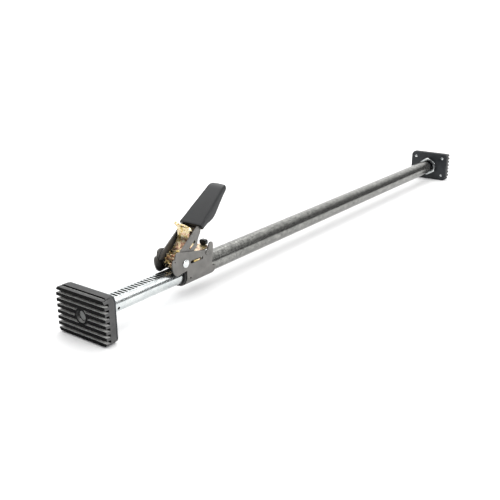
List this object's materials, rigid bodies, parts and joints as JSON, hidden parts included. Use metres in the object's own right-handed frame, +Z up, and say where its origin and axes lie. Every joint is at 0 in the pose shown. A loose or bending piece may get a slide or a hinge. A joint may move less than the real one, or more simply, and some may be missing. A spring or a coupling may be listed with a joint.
{
  "type": "ratcheting cargo bar",
  "caption": "Telescoping cargo bar with ribbed rubber feet and a lever ratchet that drives a toothed inner tube out of a powder-coated outer tube.",
  "frame": {"origin": "middle of the bar as stored, on the surface that its two feet stand on", "axes": "+X along the bar towards the outer tube's foot, +Y across the bar, +Z up"},
  "size_m": [1.139, 0.0914, 0.1514],
  "materials": {
    "hammertone_tube": "hammertone powder coat, satin",
    "bright_zinc": "bright zinc plate",
    "yellow_zinc": "yellow iridescent zinc plate",
    "dark_steel": "satin dark grey coat on stamped steel",
    "black_steel": "satin black coat on sheet steel",
    "rubber": "moulded ribbed rubber",
    "black_plastic": "moulded black plastic",
    "grip_plastic": "fine-grained dark grey plastic",
    "spring_steel": "spring wire"
  },
  "bodies": {
    "outer_bar": {"outer_tube": "hammertone_tube", "guide_collar": "black_plastic", "outer_tube_plug": "black_steel", "ratchet_housing": "dark_steel", "housing_rivet_1": "bright_zinc", "housing_rivet_2": "bright_zinc", "axle": "bright_zinc", "housing_cross_pin": "dark_steel", "lock_spring_seat": "dark_steel", "lock_pawl_spring": "spring_steel", "far_foot_bolt": "bright_zinc", "far_foot_washer": "bright_zinc", "far_foot_nut": "bright_zinc"},
    "inner_bar": {"inner_tube": "bright_zinc", "inner_tube_plug": "bright_zinc", "plug_pin": "spring_steel", "inner_tube_tail_cap": "black_plastic", "near_foot_bolt": "bright_zinc", "near_foot_washer": "bright_zinc"},
    "near_foot": {"near_foot_pad": "rubber", "near_foot_plate": "black_steel", "near_foot_rivet_1": "bright_zinc", "near_foot_rivet_2": "bright_zinc", "near_foot_rivet_3": "bright_zinc", "near_foot_rivet_4": "bright_zinc"},
    "far_foot": {"far_foot_pad": "rubber", "far_foot_plate": "black_steel", "far_foot_rivet_1": "bright_zinc", "far_foot_rivet_2": "bright_zinc", "far_foot_rivet_3": "bright_zinc", "far_foot_rivet_4": "bright_zinc"},
    "pinion_set": {"pinion": "yellow_zinc", "ratchet_wheel_near": "yellow_zinc", "ratchet_wheel_far": "yellow_zinc"},
    "handle": {"handle_frame": "dark_steel", "handle_grip": "grip_plastic", "grip_pin_1": "spring_steel", "grip_pin_2": "spring_steel", "drive_pawl_spring": "spring_steel"},
    "drive_pawl": {"drive_pawl": "yellow_zinc"},
    "lock_pawl": {"lock_pawl": "yellow_zinc", "release_tab_cap": "grip_plastic"}
  },
  "joints": [
    {"name": "tube_extension", "type": "slide", "parent": "outer_bar", "child": "inner_bar", "axis": [-1, 0, 0], "range_m": [-0.123, 0.639]},
    {"name": "pinion_spin", "type": "hinge", "parent": "outer_bar", "child": "pinion_set", "pos_m": [-0.3875, 0, 0.05425], "axis": [0, 1, 0], "range_deg": [-600, 3100]},
    {"name": "handle_swing", "type": "hinge", "parent": "outer_bar", "child": "handle", "pos_m": [-0.3875, 0, 0.05425], "axis": [0, -1, 0], "range_deg": [-26, 64]},
    {"name": "drive_pawl_lift", "type": "slide", "parent": "handle", "child": "drive_pawl", "axis": [0.809, 0, 0.5878], "range_m": [0, 0.0035], "stiffness_N_per_m": 400, "springref_m": -0.004, "deforming": ["drive_pawl_spring"]},
    {"name": "lock_pawl_lift", "type": "slide", "parent": "outer_bar", "child": "lock_pawl", "axis": [1, 0, 0], "range_m": [0, 0.0035], "stiffness_N_per_m": 400, "springref_m": -0.004, "deforming": ["lock_pawl_spring"]},
    {"name": "near_foot_swivel", "type": "hinge", "parent": "inner_bar", "child": "near_foot", "pos_m": [-0.5695, 0, 0.03285], "axis": [1, 0, 0], "continuous": true},
    {"name": "far_foot_swivel", "type": "hinge", "parent": "outer_bar", "child": "far_foot", "pos_m": [0.5695, 0, 0.03285], "axis": [1, 0, 0], "continuous": true}
  ],
  "couplings": [
    {"joint": "pinion_spin", "follows": "tube_extension", "rad_per_m": 84.451}
  ]
}
